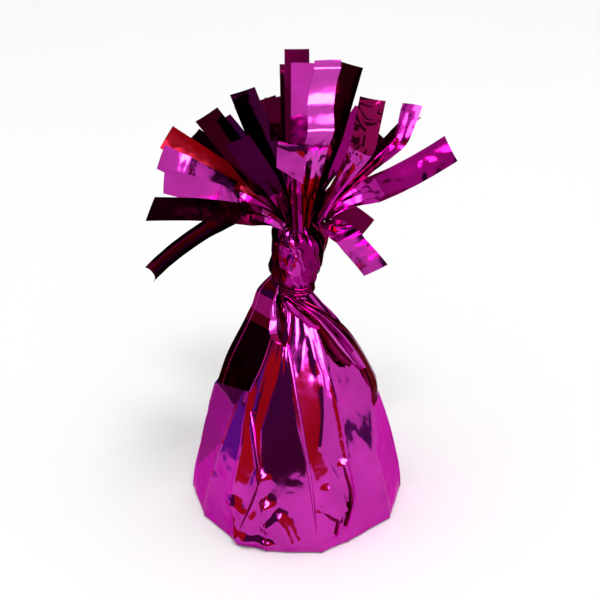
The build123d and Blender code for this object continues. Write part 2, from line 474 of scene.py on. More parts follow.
def flute_rise(azimuth, height):
    """Flutes below the tie, in front."""
    middle, level = FLUTE_MIDDLE
    width, reach = FLUTE_SPREAD
    share = np.exp(-(((azimuth - middle) / width) ** 2) - ((height - level) / reach) ** 2)
    return FLUTE_RISE * np.sin(np.radians(azimuth - FRONT) * FLUTE_RATE) * share


def wave_rise(arc, height):
    """Soft waves that run round the cone."""
    sway = WAVE_SWAY * np.sin(arc / WAVE_SWAY_LENGTH)
    return WAVE_RISE * np.sin(height / WAVE_LENGTH + sway) * fading(height, WAVE_FADE)


def crumple_rise(arc, height):
    """Small flat facets, deeper at the foot."""
    most = CRUMPLE_RISE + FOOT_CRUMPLE_RISE * fading(height, FOOT_CRUMPLE_FADE)
    relief = sum(share * facets(arc, height, cell, seed) for share, cell, seed in CRUMPLE_FACETS)
    return most * fading(height, CRUMPLE_FADE) * relief


def wrap_grid():
    """Points of the wrap from the hem under the cup to inside the tie."""
    z = FLOOR_GAP + (WRAP_TOP - FLOOR_GAP) * np.linspace(0, 1, SIDE_ROWS) ** ROW_SPACING
    azimuths, reaches = crease_lines(z)
    gaps = np.diff(azimuths, axis=1, append=azimuths[:, :1] + 2 * math.pi)
    counts = np.maximum(LEAST_COLUMNS, np.round(gaps[0] * BASE_RADIUS / COLUMN_WIDTH)).astype(int)
    panel = np.repeat(np.arange(len(CREASES)), counts)
    step = np.concatenate([np.arange(count) / count for count in counts])
    height = np.repeat(z[:, None], len(panel), axis=1)

    # A straight panel from crease to crease, pinched to a fine ridge along each crease
    gap = gaps[:, panel]
    turn = gap * step
    left, right = reaches[:, panel], np.roll(reaches, -1, axis=1)[:, panel]
    radius = left * right * np.sin(gap) / (left * np.sin(turn) + right * np.sin(gap - turn))
    angle = azimuths[:, panel] + turn
    azimuth = np.degrees(angle)
    beside = np.minimum(step, 1 - step) * gap * radius
    radius += RIDGE_RISE * np.exp(-((beside / RIDGE_HALF_WIDTH) ** 2)) * fading(height, RIDGE_FADE)
    where, spread, most = FOOT_BULGE
    radius += most * np.exp(-(((azimuth - where) / spread) ** 2)) * fading(height, BULGE_FADE)

    # Pleats that deepen towards the throat, then the finer relief
    around = panel + step
    saw = throat_saw(around)
    deep = np.clip((height - THROAT_PLEAT_START) / (WRAP_TOP - THROAT_PLEAT_START), 0, 1)
    radius *= 1 - THROAT_PLEAT_DEPTH * deep**THROAT_PLEAT_CURVE * saw
    arc = angle * RELIEF_RADIUS
    radius += flute_rise(azimuth, height) + wave_rise(arc, height) + crumple_rise(arc, height)
    radius += foot_fold_rise(azimuth, height, radius)
    side = from_polar(azimuth, height, radius)
    side[:, :, 2] += EDGE_ROUND * EDGE_LIFT * (1 - smooth((height - FLOOR_GAP) / EDGE_LIFT_SPAN))

    # Hem, tucked in flat under the cup, and collar inside the tie
    hem = []
    for share in np.linspace(1, 0, HEM_ROWS + 1)[:-1]:
        reach = radius[0] - EDGE_ROUND - share * (HEM_WIDTH - EDGE_ROUND)
        ripple = HEM_RIPPLE * np.sin(around * HEM_RIPPLE_RATE) * (1 - share)
        hem.append(from_polar(azimuth[0], FLOOR_GAP + FILM_THICKNESS / 2 + ripple, reach))
    collar = []
    throat = THROAT_RADIUS * (1 - THROAT_PLEAT_DEPTH * saw)
    for level in np.linspace(WRAP_TOP + COLLAR_GAP, (tie_low[2] + tie_high[2]) / 2, COLLAR_ROWS):
        collar.append(from_polar(azimuth[-1], np.full_like(throat, level), throat))
    return np.concatenate([np.stack(hem), side, np.stack(collar)])


# Film laid over the wrap: a flap, a tongue, a fan of pleats, and sharp crease lines

# Flap folded over at the left: azimuth, height and radius along its back, its fold and its free edge
FLAP_RAILS = (
    ((150, 66, 5.2), (150, 63.5, 5.6), (150, 61.5, 6.4), (150, 58, 8.4), (150, 53, 11.6), (154, 44, 16.6),
     (162, 37, 20)),
    ((182, 68, 6.2), (180, 65, 8.8), (178, 61.5, 11), (177, 58, 12.9), (177, 53, 15.1), (180, 44, 19.4),
     (185, 36, 22.3)),
    ((215, 66.5, 5), (214, 64.4, 5.9), (216, 61.3, 7.9), (223, 58, 9.5), (227, 54, 11), (228, 47, 14.9),
     (225, 40.2, 18.5)),
)
# Columns of the flap that have a light rim, and the rim's half width and rise
FLAP_RIMS = (1, -1)
RIM_SIZE = (0.22, 0.15)
# Share of the flap's length where each painted tone starts: painted shade, then a duller painted reflection,
# a painted red reflection and deep painted shade
FLAP_PAINTED_TONES = ((0, 3), (0.27, "matt"), (0.5, "red"), (0.62, 5))

# Tongue under the tie: azimuth, height and radius along its edges and the two folds between them
TONGUE_RAILS = (
    ((204, 63.7, 5.7), (207, 62.1, 7.1), (215, 60.2, 8.9), (223, 58.1, 10.5), (228, 55.8, 11.8),
     (235, 54.1, 12.3), (250, 52.7, 12)),
    ((205, 63.7, 5.2), (210, 61.9, 6.2), (219, 60.1, 7.6), (227, 58, 9), (234, 55.8, 10.2),
     (241, 54.2, 11.2), (250, 52.7, 11.8)),
    ((207, 63.7, 5.4), (214, 61.6, 6.2), (225, 59.9, 7.3), (233, 57.9, 8.5), (241, 55.8, 9.7),
     (246, 54.3, 10.8), (251, 52.7, 11.9)),
    ((214, 63.8, 5.2), (230, 62.5, 6.5), (242, 60.9, 7.9), (249, 59, 9.3), (253, 56.8, 10.6),
     (254, 54.7, 11.4), (252, 52.6, 11.9)),
)
# Share of the tongue's length where each painted tone starts, for its three parts: maroon painted shade on
# the lower end and on the third part
TONGUE_PAINTED_TONES = (((0, 1), (0.72, "maroon")), ((0, 1), (0.66, "maroon")), ((0, "maroon"),))

# Grid of the flap and of each part of the tongue: rows, and steps from one line to the next
RULED_ROWS = 60
RULED_STEPS = 6

# Lower lines of the two bright pleats, which are crease lines too
NEAR_RIM = ((226, 63.6), (251, 60.8), (269, 59.3), (280, 57.8), (289, 56.9), (300, 56.2))
FAR_RIM = ((250, 63.5), (282, 61.5), (301, 58.4), (310, 55.8), (317, 52.9), (322, 50), (331, 44.9))

# Pleats that fan out to the right: painted tone (maroon or above 1 for painted shade, below 1 for a painted
# highlight), lower line and upper line in azimuth and height, and how far the pleat stands off the cone from
# its lower line to its upper one
FAN_PLEATS = (
    ("maroon",
     ((262, 63.2), (275, 62.9), (297, 60.9), (316, 58), (333, 52.8), (341, 47.2), (343, 41), (336, 32)),
     ((296, 63.2), (314, 62), (334, 59.6), (352, 56.6), (370, 53), (382, 48), (386, 41), (376, 31)),
     ((0, -0.3), (0.04, 0.5), (0.1, 0.6), (0.3, 0.45), (0.36, 0.7), (0.6, 0.45), (0.66, 0.6), (1, -1.5))),
    (1.3,
     NEAR_RIM,
     ((232, 63.6), (265, 62.2), (282, 60), (293, 58.4), (300, 57.4), (306, 56.4)),
     ((0, -0.3), (0.12, 0.7), (0.3, 1), (0.7, 0.7), (1, -0.3))),
    ("maroon",
     ((230, 63.6), (268, 62.2), (285, 59.4), (301, 56.5), (310, 51.3), (319, 47.1), (330, 44.3)),
     ((240, 63.6), (275, 62.3), (295, 59.9), (306, 57.2), (317, 52.9), (324, 49), (332, 44.9)),
     ((0, -0.5), (0.2, 0.5), (0.6, 0.8), (1, 0))),
    (0.9,
     FAR_RIM,
     ((262, 63.5), (290, 61.6), (310, 58.6), (321, 55.4), (328, 52.4), (333, 49.2), (335, 45.2)),
     ((0, -0.4), (0.2, 0.7), (0.45, 1.1), (0.75, 0.8), (1, -0.3))),
)
PLEAT_ROWS = 70
PLEAT_COLUMNS = 28
# How far a pleat's ends sink into the wrap, and the share of its length that each end takes
PLEAT_SINK = 0.6
PLEAT_ENDS = (0.1, 0.06)

# Crease lines that stand out: painted tone (paler below 1 as a painted highlight, maroon as painted shade),
# half width, rise, then azimuth and height of points along each
CREASE_LINES = (
    (0.9, 0.6, 0.55, (254, 52.9), (258, 50.1), (263, 46.3), (269, 38.2), (273, 29.7), (276, 20.8),
     (279, 3.6)),
    (1, 0.35, 0.4, (231, 35.5), (235, 32.6), (241, 26.9), (247, 19.7), (251, 11.7), (252, 2.9)),
    ("maroon", 0.5, 1.5, (247.5, 20), (243, 12.4), (237, 2.5)),
    ("maroon", 0.55, 1.0, (297, 22.6), (299.5, 14.5), (294.5, 6.4)),
    ("maroon", 0.5, 0.9, (283, 11.4), (288, 9.2), (290.5, 8), (289, 4.4)),
    (0.9, 0.35, 1.2, (250, 63.4), (277, 62.9), (297, 61), (316, 58.1), (333, 52.9), (341, 47.3), (344, 42)),
    (0.6, 0.3, 1.3, *FAR_RIM),
    (0.6, 0.25, 1.1, *NEAR_RIM),
)
LINE_ROWS = 80
LINE_COLUMNS = 8
# A crease line leans up as it stands out, sinks at its sides, and narrows to a share at its ends
LINE_LEAN = 0.5
LINE_SINK = 0.4
LINE_TAPER = 0.2
LINE_END_WIDTH = 0.3

# Lean of the tied neck to the left: it starts in the first fade and ends in the second
NECK_LEAN = -1.3
LEAN_FADES = ((64, 6), (81, 13))


def smooth_line(points, count):
    """Points along a smooth curve through the given ones."""
    points = np.asarray(points, float)
    slopes = np.gradient(points, axis=0)
    at = np.linspace(0, len(points) - 1, count)
    low = np.minimum(at.astype(int), len(points) - 2)
    t = (at - low)[:, None]
    start = points[low] * (2 * t**3 - 3 * t**2 + 1) + slopes[low] * (t**3 - 2 * t**2 + t)
    return start + points[low + 1] * (3 * t**2 - 2 * t**3) + slopes[low + 1] * (t**3 - t**2)


def leaned(grid):
    """The tied neck stands a little to the left of the middle."""
    height = grid[..., 2]
    start, end = LEAN_FADES
    shift = NECK_LEAN * (1 - fading(height, start)) * fading(height, end)
    return grid + shift[..., None] * np.array((1, 0, 0))


def ruled_grid(rails):
    """Film that is straight from each rail to the next one."""
    lines = []
    for rail in rails:
        azimuth, height, radius = np.array(rail, float).T
        lines.append(smooth_line(from_polar(azimuth, height, radius), RULED_ROWS))
    columns = []
    for line, following in zip(lines, lines[1:]):
        columns += [line + (following - line) * step / RULED_STEPS for step in range(RULED_STEPS)]
    return np.stack(columns + [lines[-1]], axis=1)


def toned(grid, tones):
    """Parts of a grid, one after the other along it, each with its tone."""
    last = len(grid) - 1
    starts = [round(share * last) for share, _ in tones]
    ends = starts[1:] + [last]
    return [(grid[start:end + 1], tone) for start, end, (_, tone) in zip(starts, ends, tones)]


def pleat_grid(lower, upper, profile):
    """A pleat that follows the cone between two lines, and sinks into the wrap at its ends."""
    across = np.linspace(0, 1, PLEAT_COLUMNS)
    low, high = smooth_line(lower, PLEAT_ROWS), smooth_line(upper, PLEAT_ROWS)
    line = low[:, None] + (high - low)[:, None] * across[:, None]
    share = np.linspace(0, 1, PLEAT_ROWS)[:, None]
    start, end = PLEAT_ENDS
    raised = smooth(share / start) * smooth((1 - share) / end)
    lift = (np.interp(across, *zip(*profile)) + PLEAT_SINK) * raised - PLEAT_SINK
    return from_polar(line[..., 0], line[..., 1], ridge_radius(line[..., 1]) + lift)


def line_grid(half_width, rise, points):
    """A sharp crease along a line on the cone."""
    line = smooth_line(points, LINE_ROWS)
    return crease_grid(half_width, rise, from_polar(line[:, 0], line[:, 1], ridge_radius(line[:, 1])))


def crease_grid(half_width, rise, middle):
    """A narrow rounded ridge along a line of points."""
    along = np.gradient(middle, axis=0)
    out = middle * [1, 1, 0] / np.linalg.norm(middle[:, :2], axis=1)[:, None] + [0, 0, LINE_LEAN]
    side = np.cross(along, out)
    side /= np.linalg.norm(side, axis=1)[:, None]
    over = np.linspace(-1, 1, LINE_COLUMNS + 1)
    share = np.linspace(0, 1, len(middle))[:, None, None]
    open_share = smooth(share / LINE_TAPER) * smooth((1 - share) / LINE_TAPER)
    width = half_width * (LINE_END_WIDTH + (1 - LINE_END_WIDTH) * open_share)
    lift = rise - (rise + LINE_SINK) * over[:, None] ** 2
    return middle[:, None] + side[:, None] * over[:, None] * width + out[:, None] * lift


def wrap_shells():
    """Closed shells of the wrap and the film laid over it, each with its tone: the film's own colour or a
    painted shade, highlight or reflection.
    """
    shells = [(wrap_grid(), True, 1)]
    shells.append((ruled_grid(FLAP_RAILS[:2]), False, 1))
    flap = ruled_grid(FLAP_RAILS[1:])
    for column in FLAP_RIMS:
        shells.append((crease_grid(*RIM_SIZE, flap[:, column]), False, 1))
    panels = [(FLAP_RAILS[1:], FLAP_PAINTED_TONES), *zip(zip(TONGUE_RAILS, TONGUE_RAILS[1:]), TONGUE_PAINTED_TONES)]
    for rails, tones in panels:
        for part, tone in toned(ruled_grid(rails), tones):
            shells.append((part, False, tone))
    for tone, lower, upper, profile in FAN_PLEATS:
        shells.append((pleat_grid(lower, upper, profile), False, tone))
    for tone, half_width, rise, *points in CREASE_LINES:
        shells.append((line_grid(half_width, rise, points), False, tone))
    return shells


# Gathered neck above the tie

# Height and radius of the gathered film
NECK_PROFILE = (
    (65.4, 4.4), (66.6, 4.7), (68.2, 5.5), (70.5, 6.1), (74, 6.0), (78, 5.9), (80, 6.1), (83, 6.6),
)
NECK_TWIST = 3.4
LOOSE_SPAN = 3
# Painted tone of the imported film inside, maroon as painted shade, and of the pleats over it up to each
# azimuth: painted shade and reflections round the neck, darkest on the left and palest just left of the
# front
CORE_PAINTED_TONE = "maroon"
NECK_PAINTED_TONES = ((130, "maroon"), (210, 4), (225, 1.6), (250, 1.1), (300, 2.2), (361, "maroon"))

# Packed film inside: how far it stays below the profile, its folds and crumples, and its closed top
NECK_COLUMNS = 240
NECK_ROWS = 60
CORE_INSET = 0.5
CORE_TOP_GAP = 1.5
NECK_FOLDS = 9
FOLD_SHIFTS = ((0.35, 2, 0), (0.2, 5, 1))
FOLD_DEPTH = 0.22
CORE_CRUMPLE = 0.4
CORE_CELL = 4.2
CORE_SEED = 5.0
CORE_RADIUS = 7
CLOSING = 0.45
CLOSING_SPAN = 4
CAP_ROWS = 10
CAP_SHARES = (0.9, 0.05)
CAP_DOME = 0.8

# Pleats over it: height above the profile and from layer to layer, length over which each one leaves
# the neck, its share of width at the tie, bow, and height of its folds and crumples
TAIL_ROWS = 36
TAIL_WIDTH = 4.4
TAIL_LIFT = 0.2
TAIL_LAYERS = 3
TAIL_LAYER_STEP = 0.25
TAIL_FREE = 6
TAIL_NARROW = 0.55
TAIL_BOW = 0.13
TAIL_PLEAT = 0.4
TAIL_CRUMPLE = 0.6
TAIL_CELL = 3.6
# Half width of the crumples' layout, and its step from one tail to the next
TAIL_LAYOUT = (3, 9)


def neck_radius(z):
    """Radius of the gathered film at height z."""
    return np.interp(z, *zip(*NECK_PROFILE))


def neck_grid():
    """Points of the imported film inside, with folds that wind up to the strips."""
    low, high = NECK_PROFILE[0][0], NECK_PROFILE[-1][0] - CORE_TOP_GAP
    z = np.linspace(low, high, NECK_ROWS)
    around = np.linspace(0, 2 * math.pi, NECK_COLUMNS, endpoint=False)
    height, angle = np.meshgrid(z, around, indexing="ij")
    flow = angle + np.radians(NECK_TWIST) * (height - low)
    bend = NECK_FOLDS * flow / (2 * math.pi) + uneven(flow, FOLD_SHIFTS)
    saw = np.abs((bend % 1) * 2 - 1)
    loose = smooth((height - low) / LOOSE_SPAN)
    radius = (neck_radius(height) - CORE_INSET) * (1 - FOLD_DEPTH * saw * loose)
    radius += CORE_CRUMPLE * loose * facets(angle * CORE_RADIUS, height, CORE_CELL, CORE_SEED)
    radius *= 1 - CLOSING * smooth((height - high + CLOSING_SPAN) / CLOSING_SPAN)
    side = from_polar(np.degrees(angle), height, radius)
    cap = []
    for share in np.linspace(*CAP_SHARES, CAP_ROWS):
        ring = side[-1] * [share, share, 1]
        ring[:, 2] += CAP_DOME * (1 - share)
        cap.append(ring)
    return np.concatenate([side, np.stack(cap)])


def tail_grid(number, root, across):
    """Pleats of film that wind down the neck from the root of a strip to the tie."""
    azimuth = math.atan2(root[1], root[0])
    tangent = np.array((-math.sin(azimuth), math.cos(azimuth), 0))
    if tangent @ across < 0:
        across = -across
    low = NECK_PROFILE[1][0]
    over = np.linspace(-1, 1, STRIP_COLUMNS + 1)
    layout, layout_step = TAIL_LAYOUT
    rows = []
    for z in np.linspace(low, root[2], TAIL_ROWS):
        turn = azimuth + math.radians(NECK_TWIST) * (root[2] - z)
        free = smooth((z - root[2] + TAIL_FREE) / TAIL_FREE)
        outer = neck_radius(z) + TAIL_LIFT + TAIL_LAYER_STEP * (number % TAIL_LAYERS)
        reach = outer + (math.hypot(root[0], root[1]) - outer) * free
        width = TAIL_WIDTH + (ROOT_WIDTH_SHOWN - TAIL_WIDTH) * free
        width *= TAIL_NARROW + (1 - TAIL_NARROW) * smooth((z - low) / LOOSE_SPAN)
        out = np.array((math.cos(turn), math.sin(turn), 0))
        tangent = np.array((-math.sin(turn), math.cos(turn), 0))
        side = tangent + (across - tangent) * free
        side = side / np.linalg.norm(side)
        middle = out * reach + [0, 0, z]
        bow = -TAIL_BOW * (over * width / 2) ** 2 * (1 - free)
        crumple = facets(over * layout + number * layout_step, np.full_like(over, z), TAIL_CELL, number)
        raised = bow + TAIL_PLEAT * ZIGZAG + TAIL_CRUMPLE * crumple
        rows.append(middle + over[:, None] * width / 2 * side + raised[:, None] * out)
    return np.stack(rows)


# Tie

TIE_TURNS = 3
TIE_COLUMNS = 160
TIE_ROWS = 30
# The tie's film is darkened to a painted shade
TIE_PAINTED_TONE = 3
TIE_THICKNESS = 0.2
# Share of the band's thickness at its grooves and added between them, and its crumples and sway
TIE_GROOVE_SHARE = 0.5
TIE_TURN_SHARE = 0.22
TIE_CRUMPLE = 0.16
TIE_CELL = 1.3
TIE_SEED = 6.0
TIE_LAYOUT = (5, 3)
TIE_SWAY = 0.12
TIE_SWAYS = 3


def tie_grid():
    """A narrow band drawn tight, with shallow grooves between its turns."""
    around = np.linspace(0, 2 * math.pi, TIE_COLUMNS, endpoint=False)
    across, along = TIE_LAYOUT
    rows = []
    for turn in np.linspace(0, 1, TIE_ROWS):
        share = TIE_GROOVE_SHARE + TIE_TURN_SHARE * abs(math.sin(math.pi * TIE_TURNS * turn))
        crumple = facets(around * across, np.full_like(around, turn * along), TIE_CELL, TIE_SEED)
        reach = THROAT_RADIUS + (tie_high[0] - THROAT_RADIUS) * share + TIE_CRUMPLE * crumple
        lift = tie_low[2] + (tie_high[2] - tie_low[2]) * turn + TIE_SWAY * np.sin(TIE_SWAYS * around + 1)
        rows.append(from_polar(np.degrees(around), lift, reach))
    return np.stack(rows)


# Fringe strips, the same lines as in the part

STRIP_LENGTH = 42.0
STRIP_WIDTH = 6.35
STRIP_CLEARANCE = 0.3
ROOT_WIDTH = 1.2
BEND_END = 0.3
FOLD_SPAN = 0.1
NECK_RADIUS = 6.6

# As shown: width of the root, its tuck into the neck, the share of the neck radius from which a tail
# runs down, and the rows of its grid, with those over which the bend at the root spreads
ROOT_WIDTH_SHOWN = 2.6
ROOT_TUCK = 3.0
TAIL_SHARE = 0.5
STRIP_ROWS = 72
STRIP_COLUMNS = 16
STRIP_PLEATS = 4
PLEAT_HEIGHT = 0.62
ZIGZAG = np.abs((np.arange(STRIP_COLUMNS + 1) * STRIP_PLEATS / STRIP_COLUMNS) % 2 - 1) - 0.5

# Shares of a strip's length: where its twist starts and how long that takes, how long curl, sway and
# crumples take to build up, and where the slant of its cut end starts
TWIST_START = 0.15
TWIST_SPAN = 0.45
CURL_SPAN = 0.5
SWAY_SPAN = 0.4
CRUMPLE_SPAN = 0.3
SLANT_START = 0.5
LEAST_BOW = 1e-4
SWAY_RISE = 0.10
SWAY_LENGTH = 4.3
# Cell of a strip's crumples, half width of their layout, and its step from one strip to the next
STRIP_CELL = 3.1
STRIP_LAYOUT = (3.2, 7)

# Root radius as a share of the neck radius, root azimuth, heading, climb at the root,
# after the bend and at the tip, roll, length share
STRIPS = (
    (0.95, 233, 220, (45, 24, 17), -40, 1.07),
    (0.92, 215, 209, (50, 31, 27), -55, 0.89),
    (0.91, 198, 200, (55, 35, 35), -60, 0.90),
    (0.76, 186, 188, (60, 39, 38), -65, 0.90),
    (0.92, 171, 164, (20, -34, -50), -60, 1.02),
    (0.57, 220, 204, (68, 56, 56), 75, 0.95),
    (0.64, 236, 224, (70, 58, 56), 50, 0.81),
    (0.94, 263, 252, (84, 84, 84), 0, 0.80),
    (0.33, 208, 202, (78, 70, 70), 70, 0.95),
    (0.84, 158, 127, (30, 9, 6), -35, 0.98),
    (0.77, 132, 117, (34, 13, 9), -20, 1.00),
    (0.51, 150, 112, (50, 31, 28), -25, 0.88),
    (0.70, 106, 103, (44, 22, 18), -15, 0.98),
    (0.41, 96, 101, (50, 30, 27), -10, 0.90),
    (0.24, 140, 92, (58, 48, 48), 0, 0.99),
    (0.07, 207, 91, (64, 58, 58), 0, 1.05),
    (0.28, 292, 86, (80, 84, 85), 0, 1.00),
    (0.55, 284, 4, (84, 83, 83), 84, 1.08),
    (0.35, 25, 62, (62, 54, 54), 25, 0.98),
    (0.72, 333, 340, (68, 61, 61), -76, 0.93),
    (0.40, 341, 18, (62, 47, 46), 25, 0.68),
    (0.58, 351, 26, (48, 33, 33), 40, 0.95),
    (0.66, 24, 46, (36, 21, 21), 32, 1.00),
    (0.90, 3, 28, (36, 8, 22), 34, 0.95),
    (0.89, 44, 48, (15, -36, -44), -75, 0.60),
    (0.93, 338, 300, (30, -2, -18), 15, 0.62),
    (0.61, 58, 66, (46, 20, 12), 0, 1.00),
    (0.88, 66, 72, (40, 4, -10), 0, 1.00),
    (0.89, 88, 92, (30, -22, -38), 0, 1.00),
    (0.93, 116, 122, (5, -28, -40), 10, 0.95),
)

# Sharp folds: share of the length, and the climb beyond it
FOLDS = {8: (0.72, -80), 20: (0.6, 80), 22: (0.7, 72)}

# Buckles across a strip: share of its length, height and half length of each
BUCKLES = {
    3: ((0.8, 0.6, 1.6),),
    17: ((0.5, 0.5, 3),),
    18: ((0.6, 2.4, 4.2), (0.96, 1.2, 2.8)),
    26: ((0.5, 0.6, 2),),
}

# Painted tone of each strip: 1 is the film's own colour, above 1 a painted shade of light that has met the
# film several times, below 1 a painted highlight, or a painted reflection tint by name
STRIP_PAINTED_TONES = (3, 1, 1, "matt_red", 4, 5, "violet", 1, "violet", "violet",
         1.2, "violet", 3.5, 4, 3.5, 3.2, 1, 0.85, 6, "maroon",
         4, 1.2, 3.2, 2, 3.2, 1, 2, 1, 1.5, 2)

# Strips whose lower part, from the root, has another painted tone: share of the length, tone. It is painted
# shade, a painted highlight or a painted red reflection
LOWER_PAINTED_TONES = {
    1: (0.2, 0.9), 2: (0.35, 2), 3: (0.42, "matt_red"), 6: (0.3, 2), 7: (0.36, 2),
    8: (0.5, 1.6), 9: (0.3, "red"), 17: (0.34, "maroon"),
    18: (0.3, "red"), 20: (0.62, 1), 22: (0.72, 2), 24: (0.45, 1.3),
}

# How a strip differs from the plain ones: length that stays gathered, length over which it then
# opens out, full width, curl across it and twist along it in degrees, height of its crumples,
# slant of its cut end
PLAIN_STRIP = (0, 15, STRIP_WIDTH, 14, 0, 0.04, 0)
STRIP_LOOKS = {
    1: (0, 14, 6.35, 10, 0, 0.02, 2.6),
    5: (0, 16, 6.35, 150, 0, 0.10, 0),
    7: (4, 14, 6.35, 14, 0, 0.03, 0),
    8: (15, 8, 7.0, 8, 0, 0.03, 1.6),
    14: (0, 18, 6.35, 40, 0, 0.25, 0),
    17: (4, 18, 6.35, 10, 0, 0.03, 0),
    18: (4, 18, 7.0, 10, 25, 0.03, 0),
    19: (4, 18, 6.35, 30, 0, 0.03, 0),
    20: (10, 16, 6.35, 20, 0, 0.35, 0),
    21: (10, 12, 6.0, 20, 0, 0.25, 0),
    22: (20, 18, 6.0, 20, 50, 0.12, 0),
    23: (26, 40, 6.0, 110, 0, 0.40, 0),
    24: (3, 12, 7.8, 24, 0, 0.12, 0.8),
    25: (0, 10, 6.35, 12, 0, 0.02, 0),
    26: (0, 9, 6.6, 12, 0, 0.02, 0),
}


def strip_climb(climbs, fold, along):
    """Climb of a strip in radians, at a share of its length."""
    root, middle, tip = climbs
    if along < BEND_END:
        climb = root + (middle - root) * smooth(along / BEND_END)
    else:
        climb = middle + (tip - middle) * (along - BEND_END) / (1 - BEND_END)
    if fold and along > fold[0]:
        climb += (fold[1] - climb) * smooth((along - fold[0]) / FOLD_SPAN)
    return math.radians(climb)


def strip_frame(heading, climb, roll):
    """Direction of a strip and direction across its width."""
    way = np.array(
        (math.cos(climb) * math.cos(heading), math.cos(climb) * math.sin(heading), math.sin(climb))
    )
    level = np.array((-math.sin(heading), math.cos(heading), 0))
    across = level * math.cos(roll) + np.cross(way, level) * math.sin(roll)
    return way, across


def strip_grid(number, row):
    """Points of a strip, pleated at its root, and the place and direction of the root."""
    share, root_azimuth, heading, climbs, roll, length_share = row
    heading, roll = math.radians(heading), math.radians(roll)
    length = STRIP_LENGTH * length_share
    fold = FOLDS.get(number)
    hold, opens, full, curl, twist, crumple, slant = STRIP_LOOKS.get(number, PLAIN_STRIP)
    curl, twist = math.radians(curl), math.radians(twist)
    way, root_across = strip_frame(heading, strip_climb(climbs, fold, 0), roll)
    foot = neck_top + STRIP_CLEARANCE + abs(root_across[2]) * ROOT_WIDTH / 2
    root = from_polar(root_azimuth, foot, NECK_RADIUS * share)
    tuck = 0 if share >= TAIL_SHARE else ROOT_TUCK
    place = root - way * tuck
    step = (length + tuck) / STRIP_ROWS
    over = np.linspace(-1, 1, STRIP_COLUMNS + 1)
    layout, layout_step = STRIP_LAYOUT
    rows = []
    for index in range(STRIP_ROWS + 1):
        reach = index * step - tuck
        along = max(0, reach / length)
        turned = roll + twist * smooth((along - TWIST_START) / TWIST_SPAN)
        way, across = strip_frame(heading, strip_climb(climbs, fold, along), turned)
        up = np.cross(way, across)
        width = ROOT_WIDTH_SHOWN + (full - ROOT_WIDTH_SHOWN) * min(1, max(0, reach - hold) / opens)
        pleat = PLEAT_HEIGHT * math.sqrt(max(0, full**2 - width**2)) / STRIP_PLEATS
        bow = curl / 2 * smooth(along / CURL_SPAN) + LEAST_BOW
        sideways = width / 2 * np.sin(bow * over) / bow
        raised = width / 2 * (1 - np.cos(bow * over)) / bow + pleat * ZIGZAG
        raised += SWAY_RISE * np.sin(reach / SWAY_LENGTH + number) * smooth(along / SWAY_SPAN)
        wrinkle = facets(over * layout + number * layout_step, np.full_like(over, reach), STRIP_CELL, number)
        raised += crumple * wrinkle * smooth(along / CRUMPLE_SPAN)
        for where, height, half in BUCKLES.get(number, ()):
            raised += height * math.exp(-(((reach - where * length) / half) ** 2))
        ahead = slant * over * smooth((along - SLANT_START) / (1 - SLANT_START))
        rows.append(place + sideways[:, None] * across + raised[:, None] * up + ahead[:, None] * way)
        middle = strip_climb(climbs, fold, max(0, (reach + step / 2) / length))
        place = place + strip_frame(heading, middle, turned)[0] * step
    return np.stack(rows), root, root_across


# Stage

CENTRE = Vector((0, 0, CAMERA_TARGET * MM))
CLIP_START = 0.01
FLOOR_HALF = 1.4
FLOOR_SHADES = ((0.93, 0.93, 0.93), (0.95, 0.95, 0.95))
FLOOR_NOISE = 4
FLOOR_ROUGHNESS = 0.9
FLOOR_SHINE = 0.1

# Strength of the white surround as it lights the scene, and as it is seen directly or in the film
SURROUND_LIGHT = 0.87
SURROUND_SEEN = 1.0

CARD_DISTANCE = 1.5
CARD_STEP = 6

# Studio cards that the film mirrors: azimuth range, elevation range, colour, distance share
CARDS = {
    "low_front": ((-112, 31), (-3, 30), (0.085, 0.04, 0.09), 1.0),
    "near_front": ((-34, 2), (-18, -2), (0.085, 0.03, 0.06), 0.12),
    "high_front": ((-112, -16), (30, 62), (0.10, 0.06, 0.06), 1.0),
    "left_top": ((-150, -50), (48, 88), (0.06, 0.05, 0.10), 0.98),
    "left_back": ((-165, -102), (-19, 48), (0.09, 0.06, 0.08), 0.12),
    "right_back": ((102, 142), (-13, 60), (0.06, 0.03, 0.04), 0.18),
    "warm_left": ((-72, -42), (-28, 27), (0.58, 0.06, 0.02), 0.085),
    "warm_right": ((5, 36), (-6, 25), (0.58, 0.06, 0.02), 0.4),
    "violet_left": ((-98, -74), (-34, 26), (0.18, 0.14, 0.50), 0.07),
    "wedge_right": ((73, 81), (-15, 2), (0.10, 0.08, 0.15), 0.15),
    "soft_box": ((8, 52), (24, 36), (22, 22, 22), 0.9),
    "side_box": ((37, 56), (16, 24), (6, 6, 6), 0.9),
    "near_box": ((24, 70), (18, 30), (14, 14, 14), 0.055),
    "near_floor": ((-165, -98), (-61, -22), (0.5, 0.9, 0.5), 0.044),
}


def direction(azimuth, elevation):
    """Direction from the object: azimuth 0 is the camera's side, 90 is to the right."""
    a, e = math.radians(azimuth), math.radians(elevation)
    return Vector((math.sin(a) * math.cos(e), -math.cos(a) * math.cos(e), math.sin(e)))


def face_object(holder, azimuth, elevation, distance):
    """Put a light or the camera at a distance from the object, looking at it."""
    away = direction(azimuth, elevation)
    holder.location = CENTRE + away * distance
    holder.rotation_mode = "QUATERNION"
    holder.rotation_quaternion = away.to_track_quat("Z", "Y")
    bpy.context.scene.collection.objects.link(holder)


def add_light(name, azimuth, elevation, distance, size, power):
    """A square soft light that faces the object."""
    lamp = bpy.data.lights.new(name, "AREA")
    lamp.size = size
    lamp.energy = power
    face_object(bpy.data.objects.new(name, lamp), azimuth, elevation, distance)


